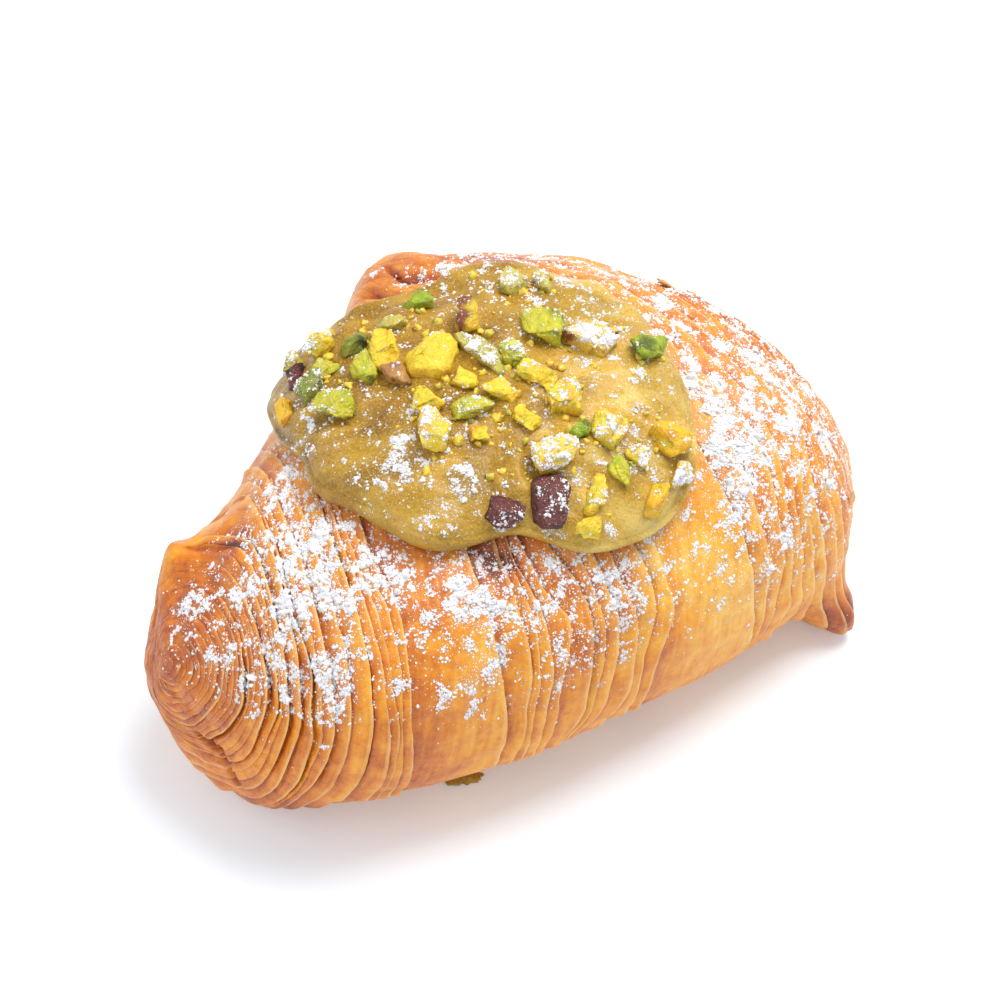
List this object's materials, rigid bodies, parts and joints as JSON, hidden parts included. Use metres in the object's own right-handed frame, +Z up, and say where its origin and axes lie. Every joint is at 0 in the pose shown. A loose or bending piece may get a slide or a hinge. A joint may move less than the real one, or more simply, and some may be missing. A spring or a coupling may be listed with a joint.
{
  "type": "lobster tail pastry",
  "caption": "Horn-shaped flaky lobster tail pastry with overlapping baked layers, topped with pistachio cream, chopped pistachios and powdered sugar.",
  "frame": {"origin": "middle of the footprint, on the table", "axes": "+Z up; +X from the rolled tip towards the mouth end, along the longest side; -Y towards the near, longer flank"},
  "size_m": [0.1449, 0.1403, 0.0824],
  "materials": {
    "crust": "golden brown baked flaky dough, dry and slightly glossy, dusted with powdered sugar",
    "cream": "khaki yellow-green pistachio cream, satin",
    "pistachio": "chopped pistachio kernels, yellow to green with purple-brown skins"
  },
  "bodies": {
    "root": {"pastry": "crust", "pistachio_cream": "cream", "pistachio_01": "pistachio", "pistachio_02": "pistachio", "pistachio_03": "pistachio", "pistachio_04": "pistachio", "pistachio_05": "pistachio", "pistachio_06": "pistachio", "pistachio_07": "pistachio", "pistachio_08": "pistachio", "pistachio_09": "pistachio", "pistachio_10": "pistachio", "pistachio_11": "pistachio", "pistachio_12": "pistachio", "pistachio_13": "pistachio", "pistachio_14": "pistachio", "pistachio_15": "pistachio", "pistachio_16": "pistachio", "pistachio_17": "pistachio", "pistachio_18": "pistachio", "pistachio_19": "pistachio", "pistachio_20": "pistachio", "pistachio_21": "pistachio", "pistachio_22": "pistachio", "pistachio_23": "pistachio", "pistachio_24": "pistachio", "pistachio_25": "pistachio", "pistachio_26": "pistachio", "pistachio_27": "pistachio", "pistachio_28": "pistachio", "pistachio_29": "pistachio", "pistachio_30": "pistachio", "pistachio_31": "pistachio", "pistachio_32": "pistachio", "pistachio_33": "pistachio", "pistachio_34": "pistachio", "pistachio_35": "pistachio", "pistachio_36": "pistachio", "pistachio_37": "pistachio", "pistachio_38": "pistachio", "pistachio_39": "pistachio", "pistachio_40": "pistachio", "pistachio_41": "pistachio", "pistachio_42": "pistachio", "pistachio_43": "pistachio", "pistachio_44": "pistachio"}
  },
  "joints": []
}
